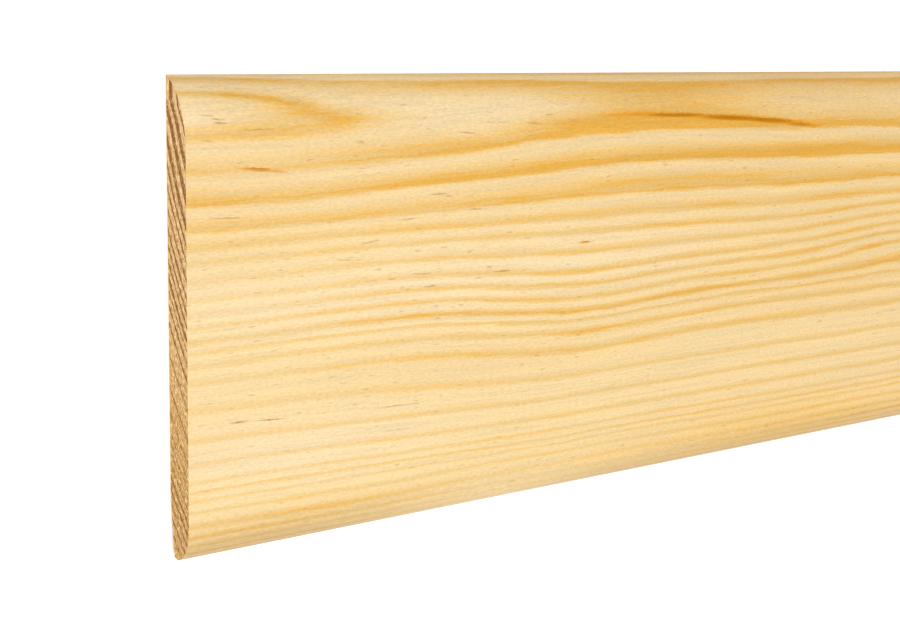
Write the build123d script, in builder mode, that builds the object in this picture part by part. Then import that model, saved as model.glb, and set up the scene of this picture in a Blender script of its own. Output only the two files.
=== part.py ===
"""A trim strip: one length of planed pine skirting with a rounded top edge, in millimetres.

The strip lies on its back. +X runs along its length, +Y towards the rounded top edge and
+Z out of the face that shows in a room. The origin is at the middle of the back.
"""
import os
from math import sqrt

from build123d import *

# Stock size
board_length = 2400
board_height = 100
board_thickness = 10

# Top edge: a round that starts level with the face and runs out at the back arris
nosing_radius = 14

# Foot: a smaller round, a narrow flat that meets the floor, and a bevel behind it
foot_radius = 9.5
foot_land = 1.8
back_bevel_depth = 1.9
back_bevel_height = 14

top_edge = board_height / 2
foot_edge = -board_height / 2


def round_off(edge, side, radius, depth):
    """Plane the face's corner at an edge to a round that leaves the face smoothly.

    side is 1 where the edge is above the face's middle and -1 where it is below.
    depth is how far the round reaches down from the face, which is its whole radius
    at most, and run is how far in from the edge it starts.
    """
    run = sqrt(radius**2 - (radius - depth) ** 2)
    start = (edge - side * run, board_thickness)
    corner = (edge, board_thickness)
    end = (edge, board_thickness - depth)
    with BuildLine() as offcut:
        Line(start, corner)
        Line(corner, end)
        TangentArc(start, end, tangent=(side, 0))
    make_face(offcut.edges(), mode=Mode.SUBTRACT)


# The strip: its section is cut from a rectangular blank, and both ends are sawn square
with BuildPart() as trim_strip:
    with BuildSketch(Plane.YZ.offset(-board_length / 2)) as section:
        Rectangle(board_height, board_thickness, align=(Align.CENTER, Align.MIN))
        nosing_depth = min(nosing_radius, board_thickness)
        round_off(top_edge, 1, nosing_radius, nosing_depth)
        foot_depth = min(foot_radius, board_thickness - back_bevel_depth - foot_land)
        round_off(foot_edge, -1, foot_radius, foot_depth)
        with BuildLine() as back_bevel:
            Polyline(
                (foot_edge, 0),
                (foot_edge + back_bevel_height, 0),
                (foot_edge, back_bevel_depth),
                close=True,
            )
        make_face(back_bevel.edges(), mode=Mode.SUBTRACT)
    extrude(amount=board_length)

trim_strip.part.label = "trim_strip"
os.makedirs("parts", exist_ok=True)
export_step(trim_strip.part, "parts/trim_strip.step")
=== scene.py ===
"""A trim strip of planed pine, lying on its back on a pale floor, seen along its sawn end.

The strip is modelled in metres, in the frame of its CAD node: +X along the length, +Y towards
the rounded top edge, +Z out of the face. The pine is described in strip millimetres: along
from the sawn end in view, up from the foot, and out from the back.
"""
from itertools import accumulate
from math import acos, cos, pi, radians, sin, sqrt

import bpy
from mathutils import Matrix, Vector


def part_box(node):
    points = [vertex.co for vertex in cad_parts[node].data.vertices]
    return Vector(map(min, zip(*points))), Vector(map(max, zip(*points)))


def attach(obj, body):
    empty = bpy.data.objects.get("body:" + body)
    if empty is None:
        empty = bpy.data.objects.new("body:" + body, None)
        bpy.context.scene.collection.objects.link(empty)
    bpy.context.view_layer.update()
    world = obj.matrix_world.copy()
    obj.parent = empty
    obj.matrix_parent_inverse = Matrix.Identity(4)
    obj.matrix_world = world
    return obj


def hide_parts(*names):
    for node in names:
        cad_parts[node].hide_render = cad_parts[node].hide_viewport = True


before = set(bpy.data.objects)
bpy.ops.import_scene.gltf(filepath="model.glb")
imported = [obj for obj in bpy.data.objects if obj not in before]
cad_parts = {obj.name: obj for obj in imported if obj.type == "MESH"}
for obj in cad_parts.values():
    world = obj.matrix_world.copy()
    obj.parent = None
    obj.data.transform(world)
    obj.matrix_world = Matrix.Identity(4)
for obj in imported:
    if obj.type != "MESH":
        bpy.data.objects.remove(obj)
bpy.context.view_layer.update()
low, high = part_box("trim_strip")

MM = 0.001

# Section of the moulding, with the number of flats that each round is planed in
nosing_radius = 14 * MM
foot_radius = 9.5 * MM
foot_land = 1.8 * MM
back_bevel_depth = 1.9 * MM
back_bevel_height = 14 * MM
nosing_facets = 26
foot_facets = 18

# Rubbed arrises: their width along the strip and round its ends, and the turn that makes one
arris_width = 0.3 * MM
end_arris_width = 0.2 * MM
arris_angle = radians(30)

# Sawn ends: the cells that carry their relief, the depth of it, and the size of a torn fibre
end_cell = 0.3 * MM
fuzz_depth = 0.12 * MM
fuzz_size = 0.7 * MM

# Mesh: the spacing of the cuts across the strip, how true a cut is, and the widest sliver
cut_spacing = 120 * MM
cut_accuracy = 0.0001 * MM
sliver = 0.001 * MM

# How squarely a face looks along the strip: a flat sawn end, and one with its fibres torn
flat_end = 0.99
torn_end = 0.8

# The tree: where its middle lies, past the top edge and in front of the face, and how far
# from there the first ring starts
pith_up = 140
pith_out = 105
first_radius = 98.3

# Growth rings from the tree's middle outwards: width in mm, share of it that is latewood,
# and how strongly that latewood is coloured
growth_rings = [
    (4.0, 0.60, 0.60), (3.4, 0.60, 0.60), (3.2, 0.45, 0.70), (3.1, 0.75, 0.98),
    (3.1, 0.80, 1.00), (3.1, 0.80, 0.80), (2.2, 0.80, 0.65), (1.9, 0.75, 0.62),
    (2.4, 0.70, 0.58), (2.4, 0.70, 0.62), (1.9, 0.75, 0.68), (1.8, 0.75, 0.68),
    (2.1, 0.75, 0.90), (1.4, 0.70, 0.60), (2.0, 0.75, 0.62), (2.5, 0.65, 0.58),
    (4.3, 0.45, 0.45), (4.8, 0.38, 0.48), (3.9, 0.42, 0.45), (2.8, 0.45, 0.42),
    (1.6, 0.65, 0.48), (1.4, 0.65, 0.42), (2.1, 0.60, 0.48), (2.3, 0.70, 0.55),
    (2.1, 0.70, 0.65), (2.2, 0.60, 0.55), (2.4, 0.60, 0.55), (2.6, 0.60, 0.50),
    (3.0, 0.50, 0.55), (3.4, 0.45, 0.50), (3.8, 0.40, 0.55), (4.2, 0.40, 0.55),
]
# The depth over which latewood gives way to the next spring's wood
ring_edge = 0.65

# Gentle bends of the grain: middle along and up, reach along and up, and lift in mm
grain_bends = [
    (115, 92, 60, 20, 6.0),
    (205, 92, 50, 20, 4.5),
    (50, 52, 30, 18, 1.0),
    (98, 48, 26, 14, -1.9),
    (210, 56, 32, 8, 3.8),
    (165, 63, 30, 5, -1.0),
    (15, 76, 22, 5, -0.8),
    (100, 10, 45, 6, 1.0),
    (30, 8, 25, 4, -0.7),
    (5, 95, 19, 2.5, -2.7),
    (38, 97.5, 32, 5.2, 3.3),
]
# Ripples of the grain: length and width in mm, and their swing
grain_ripples = [(35, 5, 1.0), (14, 1.0, 1.0), (4, 0.35, 0.6)]
# Where the rings drop away from the end over the first stretch: middle up, reach, and drop in mm
grain_drops = [(15, 30, 2.2), (32, 7, 2.2)]
drop_run = 100

# Past the stretch in view the grain goes on with a slow wander: how far along that is, and where
# the wander has grown to its full swing, the swing, and the length and height of one wave
seen_length = 215
wander_full = 520
wander_swing = 26
wander_length = 420
wander_height = 60

# What a soft spot keeps of its height at its reach: 1/e
bell_foot = 0.3679
# The share of its width over which latewood darkens
darkening = 0.85


def linear(colour):
    """Turn an sRGB hex colour into the linear values that a shader takes."""
    channels = [int(colour[i : i + 2], 16) / 255 for i in (1, 3, 5)]
    return [c / 12.92 if c <= 0.04045 else ((c + 0.055) / 1.055) ** 2.4 for c in channels] + [1]


def edit(piece):
    """Open a piece in edit mode with all of it selected."""
    bpy.ops.object.select_all(action="DESELECT")
    piece.select_set(True)
    bpy.context.view_layer.objects.active = piece
    bpy.ops.object.mode_set(mode="EDIT")
    bpy.ops.mesh.select_all(action="SELECT")


def plane_off(point, normal):
    """Plane away what stands outside a flat, given by a point on it and its outward normal."""
    bpy.ops.mesh.select_all(action="SELECT")
    bpy.ops.mesh.bisect(plane_co=point, plane_no=normal, clear_outer=True, threshold=cut_accuracy)


def plane_round(edge, side, radius, depth, facets):
    """Plane the face's corner at an edge to a round that leaves the face smoothly."""
    run = sqrt(radius**2 - (radius - depth) ** 2)
    centre_up = edge - side * run
    centre_out = high.z - radius
    sweep = acos((radius - depth) / radius)
    reach = radius * cos(sweep / facets / 2)
    for i in range(facets):
        angle = (i + 0.5) * sweep / facets
        normal = (0, side * sin(angle), cos(angle))
        point = (0, centre_up + reach * normal[1], centre_out + reach * normal[2])
        plane_off(point, normal)


def draw_outline(size):
    """Start from a plain sheet at the near end, as high and thick as the strip, and trim it."""
    bpy.ops.object.select_all(action="DESELECT")
    bpy.ops.mesh.primitive_plane_add(
        size=1,
        location=(low.x, (low.y + high.y) / 2, (low.z + high.z) / 2),
        rotation=(0, pi / 2, 0),
    )
    strip = bpy.context.object
    strip.name = strip.data.name = "pine_trim_strip"
    strip.scale = (size.z, size.y, 1)
    bpy.ops.object.transform_apply()
    edit(strip)
    plane_round(high.y, 1, nosing_radius, size.z, nosing_facets)
    foot_depth = size.z - back_bevel_depth - foot_land
    plane_round(low.y, -1, foot_radius, foot_depth, foot_facets)
    plane_off((0, low.y, low.z + back_bevel_depth), (0, -back_bevel_depth, -back_bevel_height))
    return strip


def rub_arrises(piece, lengthwise, width):
    """Rub down the sharp arrises that run along the strip, or else those round its ends."""
    bpy.ops.mesh.select_all(action="DESELECT")
    bpy.ops.mesh.select_mode(type="EDGE")
    bpy.ops.mesh.edges_select_sharp(sharpness=arris_angle)
    bpy.ops.object.mode_set(mode="OBJECT")
    for face in piece.data.polygons:
        face.select = False
    for edge in piece.data.edges:
        start, end = (piece.data.vertices[i].co.x for i in edge.vertices)
        edge.select = edge.select and (start != end) == lengthwise
    bpy.ops.object.mode_set(mode="EDIT")
    bpy.ops.mesh.bevel(offset=width, segments=2, affect="EDGES")


def divide_ends(piece, size):
    """Divide both sawn ends into small cells, for the relief of their fibres."""
    bpy.ops.object.mode_set(mode="OBJECT")
    for face in piece.data.polygons:
        face.select = abs(face.normal.x) > flat_end
    bpy.ops.object.mode_set(mode="EDIT")
    bpy.ops.mesh.select_mode(type="FACE")
    bpy.ops.mesh.hide(unselected=True)
    # The cuts start half a cell in, so that none runs along an edge of the section
    for across, extent in ((1, size.y), (2, size.z)):
        normal = (0, across == 1, across == 2)
        for i in range(round(extent / end_cell)):
            place = [0, 0, 0]
            place[across] = low[across] + (i + 0.5) * end_cell
            bpy.ops.mesh.select_all(action="SELECT")
            bpy.ops.mesh.bisect(plane_co=place, plane_no=normal, threshold=cut_accuracy)
    bpy.ops.mesh.reveal(select=False)
    bpy.ops.mesh.select_all(action="SELECT")
    bpy.ops.mesh.remove_doubles(threshold=sliver)
    bpy.ops.object.mode_set(mode="OBJECT")


def roughen_end(piece, side):
    """Give one sawn end the uneven fibres that the saw leaves, always into the wood."""
    fuzz = bpy.data.textures.new("saw fuzz", "CLOUDS")
    fuzz.noise_scale = fuzz_size
    faces = [face for face in piece.data.polygons if side * face.normal.x > flat_end]
    group = piece.vertex_groups.new(name="near end" if side < 0 else "far end")
    group.add(sorted({corner for face in faces for corner in face.vertices}), 1, "ADD")
    relief = piece.modifiers.new("saw fuzz", "DISPLACE")
    relief.texture = fuzz
    relief.texture_coords = "LOCAL"
    relief.direction = "X"
    # The clouds run from 0 to 1, so with a middle below 0 every fibre is sunk
    relief.mid_level = -0.5
    relief.strength = -side * fuzz_depth
    relief.vertex_group = group.name
    bpy.ops.object.modifier_apply(modifier=relief.name)


def make_strip():
    """Model the strip: its section drawn out to its length, with rubbed arrises and sawn ends."""
    size = high - low
    strip = draw_outline(size)
    bpy.ops.mesh.select_all(action="SELECT")
    bpy.ops.mesh.extrude_region_move(TRANSFORM_OT_translate={"value": (size.x, 0, 0)})
    bpy.ops.mesh.select_all(action="SELECT")
    bpy.ops.mesh.normals_make_consistent(inside=False)
    for i in range(1, round(size.x / cut_spacing)):
        bpy.ops.mesh.select_all(action="SELECT")
        bpy.ops.mesh.bisect(plane_co=(low.x + i * cut_spacing, 0, 0), plane_no=(1, 0, 0))

    rub_arrises(strip, True, arris_width)
    rub_arrises(strip, False, end_arris_width)
    divide_ends(strip, size)
    roughen_end(strip, -1)
    roughen_end(strip, 1)
    bpy.ops.object.shade_smooth_by_angle(angle=arris_angle)
    return strip


def add(tree, kind, inputs=None, **settings):
    """Add one shader node with its settings. Its inputs go by their names, or by number where
    a node repeats a name. They are values, sockets, or nodes whose first output is linked."""
    node = tree.nodes.new("ShaderNode" + kind)
    for name, value in settings.items():
        setattr(node, name, value)
    in_use = {socket.name: socket for socket in node.inputs if socket.enabled}
    for name, value in (inputs or {}).items():
        socket = node.inputs[name] if isinstance(name, int) else in_use[name]
        if isinstance(value, bpy.types.Node):
            value = next(output for output in value.outputs if output.enabled)
        if isinstance(value, bpy.types.NodeSocket):
            tree.links.new(value, socket)
        else:
            socket.default_value = value
    return node


def add_spots(tree, place, spots):
    """Add up soft oval spots: middle along and up, reach along and up, and height."""
    flat = add(tree, "VectorMath", {0: place, 1: (1, 1, 0)}, operation="MULTIPLY")
    total = None
    for along, up, reach_along, reach_up, height in spots:
        near = add(tree, "Mapping", {
            "Vector": flat, "Location": (along, up, 0), "Scale": (reach_along, reach_up, 1),
        }, vector_type="TEXTURE")
        square = add(tree, "VectorMath", {0: near, 1: near}, operation="DOT_PRODUCT")
        square = square.outputs["Value"]
        bell = add(tree, "Math", {0: bell_foot, 1: square}, operation="POWER")
        total = add(tree, "Math", {0: bell, 1: height, 2: total or 0.0}, operation="MULTIPLY_ADD")
    return total


def add_streaks(tree, place, streaks):
    """The strongest of some long thin marks on the face: middle along and up, half length,
    half width, slope in degrees, and strength."""
    # The marks lie on the face, and reach this far into the wood
    face_out = (high.z - low.z) / MM
    reach_in = 4
    strongest = 0.0
    for along, up, half_length, half_width, slope, strength in streaks:
        near = add(tree, "Mapping", {
            "Vector": place, "Location": (along, up, face_out), "Rotation": (0, 0, radians(slope)),
            "Scale": (half_length, half_width, reach_in),
        }, vector_type="TEXTURE")
        far = add(tree, "VectorMath", {0: near}, operation="LENGTH").outputs["Value"]
        mark = add(tree, "MapRange", {
            "Value": far, "From Min": 1, "From Max": 0.2, "To Min": 0, "To Max": strength,
        }, interpolation_type="SMOOTHSTEP")
        strongest = add(tree, "Math", {0: strongest, 1: mark}, operation="MAXIMUM")
    return strongest


def add_fibres(tree, place, length, width, **look):
    """An uneven pattern drawn out along the strip, in cells of a length and a width in mm."""
    cells = add(tree, "Mapping", {"Vector": place, "Scale": (1 / length, 1 / width, 1 / width)})
    return add(tree, "TexNoise", {"Vector": cells, "Scale": 1, **look})


def bend_grain(tree, strip):
    """How far the grain is lifted, in mm, by its bends, its drops, its wander and its ripples."""
    lift = add_spots(tree, strip, grain_bends)
    place = add(tree, "SeparateXYZ", {"Vector": strip})
    run = add(tree, "MapRange", {
        "Value": place.outputs["X"], "From Min": 0, "From Max": drop_run,
    }, interpolation_type="SMOOTHSTEP")
    for up, reach_up, drop in grain_drops:
        offset = add(tree, "MapRange", {
            "Value": place.outputs["Y"], "From Min": up, "From Max": up + reach_up,
        }, clamp=False)
        square = add(tree, "Math", {0: offset, 1: offset}, operation="MULTIPLY")
        bell = add(tree, "Math", {0: bell_foot, 1: square}, operation="POWER")
        depth = add(tree, "Math", {0: bell, 1: run}, operation="MULTIPLY")
        lift = add(tree, "Math", {0: depth, 1: -drop, 2: lift}, operation="MULTIPLY_ADD")

    waves = add(tree, "Mapping", {
        "Vector": strip, "Scale": (1 / wander_length, 1 / wander_height, 0),
    })
    wander = add(tree, "TexNoise", {"Vector": waves, "Scale": 1, "Detail": 1})
    centred = add(tree, "Math", {0: wander, 1: 0.5}, operation="SUBTRACT")
    fade_in = add(tree, "MapRange", {
        "Value": place.outputs["X"], "From Min": seen_length, "From Max": wander_full,
        "To Min": 0, "To Max": wander_swing,
    }, interpolation_type="SMOOTHSTEP")
    lift = add(tree, "Math", {0: centred, 1: fade_in, 2: lift}, operation="MULTIPLY_ADD")

    for length, width, swing in grain_ripples:
        ripple = add_fibres(tree, strip, length, width, Detail=2)
        centred = add(tree, "Math", {0: ripple, 1: 0.5}, operation="SUBTRACT")
        lift = add(tree, "Math", {0: centred, 1: swing, 2: lift}, operation="MULTIPLY_ADD")
    return lift


def count_rings(tree, grain):
    """Count the growth rings outwards from the tree's middle: 4.5 is half way through the
    fifth ring, however wide it is."""
    widths = [ring[0] for ring in growth_rings]
    reach = sum(widths)
    across = add(tree, "VectorMath", {0: grain, 1: (0, 1, 1)}, operation="MULTIPLY")
    radius = add(tree, "VectorMath", {0: across, 1: (0, pith_up, pith_out)}, operation="DISTANCE")
    share_out = add(tree, "MapRange", {
        "Value": radius.outputs["Value"], "From Min": first_radius,
        "From Max": first_radius + reach,
    })
    count = add(tree, "FloatCurve", {"Value": share_out})
    curve = count.mapping.curves[0]
    for number, passed in enumerate(accumulate(widths[:-1]), start=1):
        curve.points.new(passed / reach, number / len(widths))
    for point in curve.points:
        point.handle_type = "VECTOR"
    count.mapping.update()
    return add(tree, "Math", {0: count, 1: len(widths)}, operation="MULTIPLY")


def describe_ring(tree, ring):
    """Look up what each ring is like: its share of latewood, how strongly that is coloured, and
    the share of the ring over which it gives way to the next spring's wood."""
    rings = len(growth_rings)
    number = add(tree, "Math", {0: ring}, operation="FLOOR")
    middle = add(tree, "Math", {0: number, 1: 0.5}, operation="ADD")
    key = add(tree, "Math", {0: middle, 1: rings}, operation="DIVIDE")
    kinds = add(tree, "ValToRGB", {"Fac": key})
    kinds.color_ramp.interpolation = "CONSTANT"
    steps = kinds.color_ramp.elements
    while len(steps) < rings:
        steps.new(1)
    for i, (width, share, strength) in enumerate(growth_rings):
        steps[i].position = i / rings
        steps[i].color = (share, strength, ring_edge / width, 1)
    return add(tree, "SeparateColor", {"Color": kinds}).outputs


def make_grain():
    """The growth rings, as one node group that the planed and the sawn pine share."""
    tree = bpy.data.node_groups.new("pine growth rings", "ShaderNodeTree")
    for name, kind in (("Strip", "Vector"), ("Grain", "Vector"), ("Latewood", "Float")):
        tree.interface.new_socket(name, in_out="OUTPUT", socket_type="NodeSocket" + kind)
    spot = add(tree, "TexCoord")
    strip = add(tree, "Mapping", {
        "Vector": spot.outputs["Object"],
        "Location": (-low.x / MM, -low.y / MM, -low.z / MM),
        "Scale": (1 / MM, 1 / MM, 1 / MM),
    })
    lift = add(tree, "CombineXYZ", {"Y": bend_grain(tree, strip)})
    grain = add(tree, "VectorMath", {0: strip, 1: lift}, operation="SUBTRACT")
    ring = count_rings(tree, grain)
    share, strength, edge = describe_ring(tree, ring)

    # Latewood darkens slowly, and gives way at once where the next spring's wood starts
    through = add(tree, "Math", {0: ring}, operation="FRACT")
    start = add(tree, "Math", {0: 1, 1: share}, operation="SUBTRACT")
    stop = add(tree, "Math", {0: 1, 1: edge}, operation="SUBTRACT")
    full = add(tree, "Mix", {"Factor": darkening, "A": start, "B": stop})
    darker = add(tree, "MapRange", {"Value": through, "From Min": start, "From Max": full})
    paler = add(tree, "MapRange", {
        "Value": through, "From Min": stop, "From Max": 1, "To Min": 1, "To Max": 0,
    }, interpolation_type="SMOOTHSTEP")
    late = add(tree, "Math", {0: darker, 1: paler}, operation="MULTIPLY")
    late = add(tree, "Math", {0: late, 1: strength}, operation="MULTIPLY")

    out = tree.nodes.new("NodeGroupOutput")
    for name, source in (("Strip", strip), ("Grain", grain), ("Latewood", late)):
        tree.links.new(source.outputs[0], out.inputs[name])
    return tree


def new_material(name):
    """Start a material with an empty node tree."""
    material = bpy.data.materials.new(name)
    material.use_nodes = True
    tree = material.node_tree
    tree.nodes.clear()
    return material, tree


def finish_material(tree, colour, height, depth, roughness, shine):
    """Close a material with its colour, the relief of its fibres and how it shines."""
    bump = add(tree, "Bump", {"Height": height, "Strength": 1, "Distance": depth})
    surface = add(tree, "BsdfPrincipled", {
        "Base Color": colour, "Roughness": roughness, "Specular IOR Level": shine,
        "Normal": bump,
    })
    add(tree, "OutputMaterial", {"Surface": surface})


# Figure that is stronger or fainter in places: middle along and up, reach, and change of strength
figure_patches = [
    (10, 40, 55, 34, -0.35),
    (5, 57, 40, 9, -0.3),
    (10, 83, 40, 3.5, -0.35),
    (30, 92, 10, 4, 0.1),
    (22, 76.5, 25, 2, -0.25),
    (42, 97.5, 16, 1.2, -0.3),
    (150, 97.3, 50, 1.3, -0.25),
    (47, 91, 9, 4, -0.4),
    (165, 48.5, 50, 4, -0.25),
    (125, 6, 90, 5, -0.8),
    (25, 6.5, 35, 3, 0.1),
]

# Wood that is more golden all through in places: middle along and up, reach, and share of it
golden_patches = [
    (60, 100, 900, 2.2, 0.1),
    (20, 99, 30, 1.5, -0.3),
    (175, 98.6, 32, 1.2, 0.15),
    (13, 96.6, 8, 1, 0.45),
    (24, 95.4, 5, 0.9, 0.3),
    (17, 94, 7, 1.6, 0.12),
    (31.5, 92.4, 4.5, 1.6, 0.25),
    (38, 93, 4, 1, 0.12),
    (12, 89.7, 10, 1.3, 0.15),
    (42, 91.5, 9, 1.2, 0.15),
    (56, 87.5, 9, 1.2, 0.2),
    (15, 89.8, 8, 1.5, 0.15),
    (45, 85.5, 22, 2.5, 0.25),
    (130, 76, 60, 1.8, 0.28),
    (125, 90.3, 38, 2.4, 0.38),
    (125, 94.5, 30, 3.5, 0.35),
    (92, 89.5, 16, 1.5, 0.35),
    (175, 82, 45, 2.5, 0.35),
    (10, 70, 20, 9, 0.1),
    (185, 60, 45, 16, 0.1),
    (165, 45, 55, 6, 0.12),
    (70, 36, 50, 5, 0.12),
    (170, 8, 60, 7, 0.42),
    (28, 8, 42, 2.5, 0.27),
    (60, 1, 900, 5, 0.1),
    (75, 2, 25, 5, -0.2),
]

# Springwood that is paler in places: middle along and up, reach, and share of it
paler_patches = [
    (45, 55, 60, 8, 0.6),
    (105, 58, 35, 6, 0.4),
    (25, 22, 30, 7, 0.6),
    (65, 92.5, 40, 4, 0.5),
    (2, 92, 5, 4, 0.6),
]

# Painted shade and the wood's own deeper tone: the long bands on the rounded foot and the top
# crest are painted shade, where these rounds turn from the light, and the rest are patches of
# deeper tone in the wood. Middle along and up, reach, and share of the change
shade_and_tone_patches = [
    (14, 99.3, 18, 1.1, 0.4),
    (175, 98.8, 32, 1.2, 0.2),
    (90, 99.8, 70, 0.6, 0.4),
    (60, 0, 900, 6, 0.7),
    (80, 1, 22, 4, -0.5),
    (10, 1.5, 25, 2.5, 0.7),
    (20, 5, 30, 3, 0.35),
    (12, 78, 20, 2.5, 0.2),
    (170, 10.5, 60, 3.5, -0.35),
]

# Where resin canals crowd together: middle along and up, reach, and added chance of each
canal_patches = [
    (35, 57, 50, 9, 0.5),
    (30, 35, 40, 14, 0.3),
    (115, 62, 40, 12, -0.35),
    (50, 72, 60, 4, -0.08),
]

# Resin in the wood: middle along and up, half length, half width, slope in degrees, strength
resin_streaks = [
    (112, 91.0, 16, 0.8, 0, 0.45),
    (124, 90.6, 18, 0.8, -1.5, 0.95),
    (142, 89.6, 20, 1.05, -3.0, 1.0),
    (154, 88.75, 18, 1.05, -3.8, 1.0),
    (165, 87.6, 9, 0.9, -3.5, 0.8),
    (170, 87.1, 4.5, 0.8, -2.0, 0.45),
    (15, 82.1, 6, 0.5, -6.0, 0.5),
    (19, 81.6, 3.5, 0.45, -8.0, 0.3),
    (98, 61.8, 2.8, 0.45, 0, 0.4),
]

# Brown hairlines, in the same terms
brown_hairlines = [
    (15, 82.3, 4, 0.22, -6, 0.52),
    (19.3, 95.8, 3.5, 0.3, -3.6, 0.75),
    (5, 92.7, 2.4, 0.22, -4, 0.52),
    (7, 92, 2, 0.22, -6, 0.6),
    (7.5, 91.3, 2, 0.25, -4, 0.68),
    (15, 89.9, 5, 0.22, 1, 0.38),
    (8.5, 72.8, 5, 0.25, -2, 0.52),
    (11, 30.5, 2.6, 0.25, 0, 0.75),
    (18.5, 30, 4.5, 0.22, -4, 0.8),
    (48.5, 28.9, 8, 0.2, -1, 0.45),
    (49, 23.3, 6, 0.2, -2, 0.3),
    (75, 56.8, 3.6, 0.3, -2, 0.52),
    (56, 55, 2.4, 0.3, 0, 0.52),
    (54, 57.9, 4, 0.25, -3, 0.45),
    (64.5, 88.0, 3.5, 0.25, -4, 0.52),
    (82, 89.6, 3.4, 0.25, -5, 0.52),
    (72, 90, 6, 0.2, -1, 0.3),
    (86.5, 91.4, 2, 0.3, 0, 0.45),
    (57.5, 75.1, 3.4, 0.28, 0, 0.52),
    (67, 71.3, 2.6, 0.25, 0, 0.45),
    (50, 70.1, 2.4, 0.25, 5, 0.45),
    (41, 65.8, 4, 0.3, 8, 0.38),
    (35, 62.4, 3, 0.25, -5, 0.38),
    (38, 86.8, 1.6, 0.4, -15, 0.38),
    (98.5, 61.9, 2.2, 0.2, 0, 0.6),
    (168, 94, 8, 0.3, -3, 0.2),
    (172, 93.2, 6, 0.3, -4, 0.2),
    (162, 92.4, 6, 0.25, -2, 0.15),
    (192, 95.8, 7, 0.5, 0, 0.25),
]


def colour_wood(tree, rings, bundle):
    """Pale straw springwood and golden latewood, with the patches that depart from them, and
    painted shade that darkens them in places.
    """
    strip = rings.outputs["Strip"]

    # The latewood is streaky, because the bundles of fibres take their colour unevenly
    streaky = add(tree, "Math", {0: bundle, 1: 0.5}, operation="SUBTRACT")
    patches = add_spots(tree, strip, figure_patches)
    figure = add(tree, "Math", {0: patches, 1: 1}, operation="ADD")
    figure = add(tree, "Math", {0: streaky, 1: 1.6, 2: figure}, operation="MULTIPLY_ADD")
    gilt = add_spots(tree, strip, golden_patches)
    gilt = add(tree, "Math", {0: streaky, 1: 0.6, 2: gilt}, operation="MULTIPLY_ADD")
    late = add(tree, "Math", {
        0: rings.outputs["Latewood"], 1: figure, 2: gilt,
    }, operation="MULTIPLY_ADD", use_clamp=True)

    # Springwood is a little darker towards the top edge
    place = add(tree, "SeparateXYZ", {"Vector": strip})
    tone = add(tree, "MapRange", {
        "Value": place.outputs["Y"], "From Min": 50, "From Max": 96,
    }, interpolation_type="SMOOTHSTEP")
    early = add(tree, "Mix", {
        "Factor": tone, "A": linear("#DEC391"), "B": linear("#D9BE8C"),
    }, data_type="RGBA")
    pale = add_spots(tree, strip, paler_patches)
    early = add(tree, "Mix", {
        "Factor": pale, "A": early, "B": linear("#E0CAA4"),
    }, data_type="RGBA")

    # Latewood turns to honey up to this strength, and to amber past it
    honey_full = 0.6
    honey = add(tree, "MapRange", {"Value": late, "From Min": 0, "From Max": honey_full})
    amber = add(tree, "MapRange", {"Value": late, "From Min": honey_full, "From Max": 1})
    golden = add(tree, "Mix", {
        "Factor": honey, "A": early, "B": linear("#D6B06B"),
    }, data_type="RGBA")
    golden = add(tree, "Mix", {
        "Factor": amber, "A": golden, "B": linear("#CF9C42"),
    }, data_type="RGBA")

    # Painted shade: all of it darkens slowly away from the sawn end, for light falling off across
    # the view, and more along the foot and crest; the other patches are the wood's own deeper tone
    shade_and_tone = add_spots(tree, strip, shade_and_tone_patches)
    away = add(tree, "MapRange", {
        "Value": place.outputs["X"], "From Min": 50, "From Max": 230, "To Min": 0, "To Max": 0.27,
    })
    shade_and_tone = add(tree, "Math", {0: shade_and_tone, 1: away}, operation="ADD")
    shade_and_tone_tint = add(tree, "Mix", {
        "Factor": shade_and_tone, "A": linear("#FFFFFF"), "B": linear("#E7E2DC"),
    }, data_type="RGBA")
    return add(tree, "VectorMath", {0: golden, 1: shade_and_tone_tint}, operation="MULTIPLY")


def add_resin(tree, colour, ragged):
    """Stain the wood along its resin streaks, deepest along the middle of each."""
    streak = add_streaks(tree, ragged, resin_streaks)
    stain = add(tree, "MapRange", {"Value": streak, "From Min": 0, "From Max": 0.45})
    core = add(tree, "MapRange", {"Value": streak, "From Min": 0.4, "From Max": 1})
    stained = add(tree, "Mix", {
        "Factor": stain, "A": colour, "B": linear("#CE8E28"),
    }, data_type="RGBA")
    return add(tree, "Mix", {
        "Factor": core, "A": stained, "B": linear("#AB6C00"),
    }, data_type="RGBA")


def add_canals(tree, colour, rings, ragged):
    """Draw the resin canals, brown hairlines 1 to 3 mm long here and there, and the longer
    hairlines that have a place of their own."""
    cell_length = 5.5
    cell_width = 0.6
    empty_share = 0.62
    cells = add(tree, "Mapping", {
        "Vector": rings.outputs["Grain"],
        "Scale": (1 / cell_length, 1 / cell_width, 1 / cell_width),
    })
    canal = add(tree, "TexVoronoi", {"Vector": cells, "Scale": 1})
    chance = add(tree, "SeparateColor", {"Color": canal.outputs["Color"]})
    crowd = add_spots(tree, rings.outputs["Strip"], canal_patches)
    likely = add(tree, "Math", {0: chance.outputs[0], 1: crowd}, operation="ADD")
    some = add(tree, "Math", {0: likely, 1: empty_share}, operation="GREATER_THAN")
    dash = add(tree, "MapRange", {
        "Value": canal.outputs["Distance"], "From Min": 0.22, "From Max": 0.08,
        "To Min": 0, "To Max": 0.36,
    }, interpolation_type="SMOOTHSTEP")
    dash = add(tree, "Math", {0: dash, 1: some}, operation="MULTIPLY")
    hairline = add_streaks(tree, ragged, brown_hairlines)
    dash = add(tree, "Math", {0: dash, 1: hairline}, operation="MAXIMUM")
    return add(tree, "Mix", {
        "Factor": dash, "A": colour, "B": linear("#946232"),
    }, data_type="RGBA")


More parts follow.
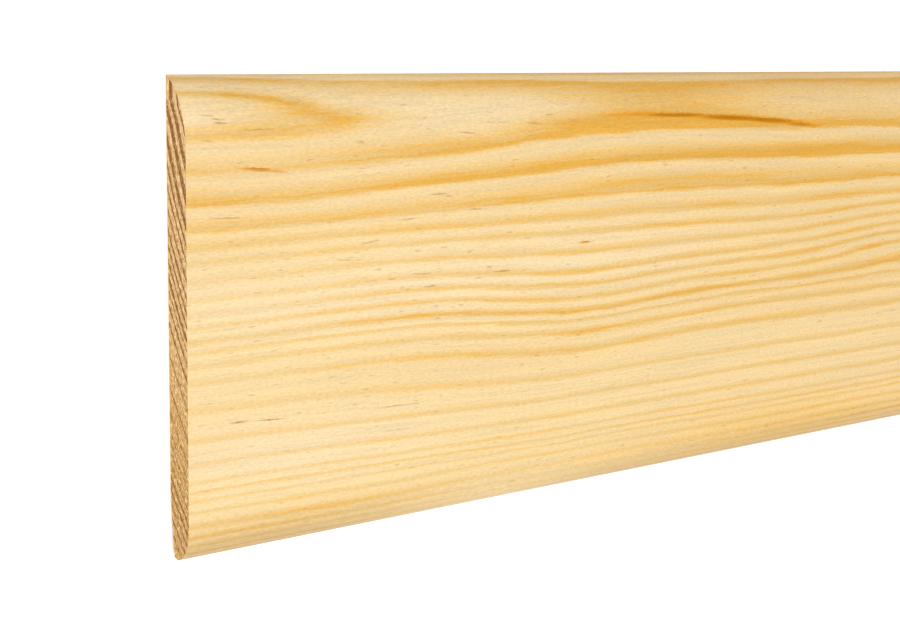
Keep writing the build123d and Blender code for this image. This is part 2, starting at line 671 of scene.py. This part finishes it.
def planed_pine(grain_tree):
    """Planed pine: pale straw springwood, golden latewood, fine fibres and a few resin canals."""
    material, tree = new_material("planed pine")
    rings = add(tree, "Group", node_tree=grain_tree)

    # Fibres: bundles under 1 mm wide that run for 30 mm, and finer fibres about 1 mm long
    bundle = add_fibres(tree, rings.outputs["Grain"], 30, 0.7, Detail=3, Roughness=0.6)
    fibre = add_fibres(tree, rings.outputs["Strip"], 1.1, 0.4, Detail=3, Roughness=0.7)
    golden = colour_wood(tree, rings, bundle)

    # The fine fibres fray the marks, by about half a millimetre along and a quarter of that up
    shift = add(tree, "VectorMath", {0: fibre, 1: (0.5, 0.5, 0.5)}, operation="SUBTRACT")
    shift = add(tree, "VectorMath", {0: shift, 1: (2.0, 0.5, 0)}, operation="MULTIPLY")
    ragged = add(tree, "VectorMath", {0: rings.outputs["Strip"], 1: shift}, operation="ADD")
    resin = add_resin(tree, golden, ragged)
    dashed = add_canals(tree, resin, rings, ragged)

    # Both kinds of fibre make the colour lighter and darker, each by up to about a tenth
    coarse = add(tree, "MapRange", {
        "Value": bundle, "From Min": 0.3, "From Max": 0.7, "To Min": 0.91, "To Max": 1.08,
    })
    fine = add(tree, "MapRange", {
        "Value": fibre, "From Min": 0.35, "From Max": 0.65, "To Min": 0.91, "To Max": 1.08,
    })
    shade = add(tree, "Math", {0: coarse, 1: fine}, operation="MULTIPLY")
    colour = add(tree, "VectorMath", {0: dashed, 1: shade}, operation="MULTIPLY")
    finish_material(tree, colour, bundle, depth=0.02 * MM, roughness=0.5, shine=0.13)
    return material


def sawn_pine(grain_tree):
    """Pine across the grain, as the saw left it: brown ring lines between pale fibres, with
    painted shade on the sunk fibres and painted highlights on the proud ones.
    """
    material, tree = new_material("sawn pine end grain")
    rings = add(tree, "Group", node_tree=grain_tree)

    # Torn fibres lie in short rows along the rings, 1.1 mm long and half as wide
    rows = add(tree, "Mapping", {
        "Vector": rings.outputs["Grain"], "Rotation": (radians(-40), 0, 0),
        "Scale": (1, 1.1, 0.5),
    }, vector_type="TEXTURE")
    torn = add(tree, "TexNoise", {"Vector": rows, "Scale": 1, "Detail": 3, "Roughness": 0.75})

    # The wood between the ring lines is browner towards the foot
    late = add(tree, "MapRange", {
        "Value": rings.outputs["Latewood"], "From Min": 0.15, "From Max": 0.6,
    }, interpolation_type="SMOOTHSTEP")
    place = add(tree, "SeparateXYZ", {"Vector": rings.outputs["Strip"]})
    browner = add(tree, "MapRange", {"Value": place.outputs["Y"], "From Min": 55, "From Max": 25})
    fibres = add(tree, "Mix", {
        "Factor": browner, "A": linear("#DEB478"), "B": linear("#C99C58"),
    }, data_type="RGBA")
    base = add(tree, "Mix", {
        "Factor": late, "A": fibres, "B": linear("#8A5824"),
    }, data_type="RGBA")

    # Painted shade and painted highlight: sunk fibres are painted dark as if in shade, and proud
    # ones are painted pale as if catching the light, less so in a ring line
    painted_pit_shade = add(tree, "MapRange", {
        "Value": torn, "From Min": 0.48, "From Max": 0.36, "To Min": 0, "To Max": 0.7,
    })
    highlight_strength = add(tree, "MapRange", {
        "Value": late, "From Min": 0, "From Max": 1, "To Min": 0.95, "To Max": 0.45,
    })
    painted_fibre_highlight = add(tree, "MapRange", {
        "Value": torn, "From Min": 0.53, "From Max": 0.63, "To Min": 0, "To Max": highlight_strength,
    })
    colour = add(tree, "Mix", {
        "Factor": painted_pit_shade, "A": base, "B": linear("#7E5222"),
    }, data_type="RGBA")
    colour = add(tree, "Mix", {
        "Factor": painted_fibre_highlight, "A": colour, "B": linear("#F8DAA8"),
    }, data_type="RGBA")
    finish_material(tree, colour, torn, depth=0.15 * MM, roughness=0.75, shine=0.1)
    return material


def make_floor():
    """A plain pale floor that fills the picture."""
    bpy.ops.object.select_all(action="DESELECT")
    bpy.ops.mesh.primitive_plane_add(size=400, location=(0, 0, low.z))
    floor = bpy.context.object
    floor.name = "floor"
    material, tree = new_material("matt white floor")
    surface = add(tree, "BsdfDiffuse", {"Color": (0.95, 0.95, 0.95, 1)})
    add(tree, "OutputMaterial", {"Surface": surface})
    floor.data.materials.append(material)


def light_scene():
    """Soft studio light: an even pale surround and one very wide lamp in front of the face."""
    world = bpy.data.worlds.new("studio")
    bpy.context.scene.world = world
    world.use_nodes = True
    surround = world.node_tree.nodes["Background"].inputs
    surround["Color"].default_value = (1, 1, 1, 1)
    surround["Strength"].default_value = 0.5
    lamp = bpy.data.lights.new("wide lamp", "SUN")
    # A sun of strength pi lights a white face to full white
    lamp.energy = 0.88 * pi
    lamp.angle = radians(50)
    holder = bpy.data.objects.new("wide lamp", lamp)
    holder.rotation_euler = (0, radians(-15), 0)
    bpy.context.collection.objects.link(holder)


def place_camera():
    """Look down on the strip from beyond its sawn end. The camera's place, turn and lens were
    found by fitting the strip's long edges and its sawn end to the picture."""
    lens = bpy.data.cameras.new("camera")
    lens.sensor_width = 36
    lens.lens = 55.12
    lens.clip_end = 1000
    camera = bpy.data.objects.new("camera", lens)
    camera.location = (-1.29970, 0.06939, 0.25740)
    camera.rotation_euler = (radians(-14.932), radians(-32.545), radians(2.477))
    bpy.context.collection.objects.link(camera)
    bpy.context.scene.camera = camera


place_camera()
light_scene()
make_floor()
strip = make_strip()
grain_tree = make_grain()
strip.data.materials.append(planed_pine(grain_tree))
strip.data.materials.append(sawn_pine(grain_tree))
for face in strip.data.polygons:
    face.material_index = abs(face.normal.x) > torn_end
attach(strip, "root")
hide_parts("trim_strip")

bpy.context.scene.view_settings.view_transform = "Standard"
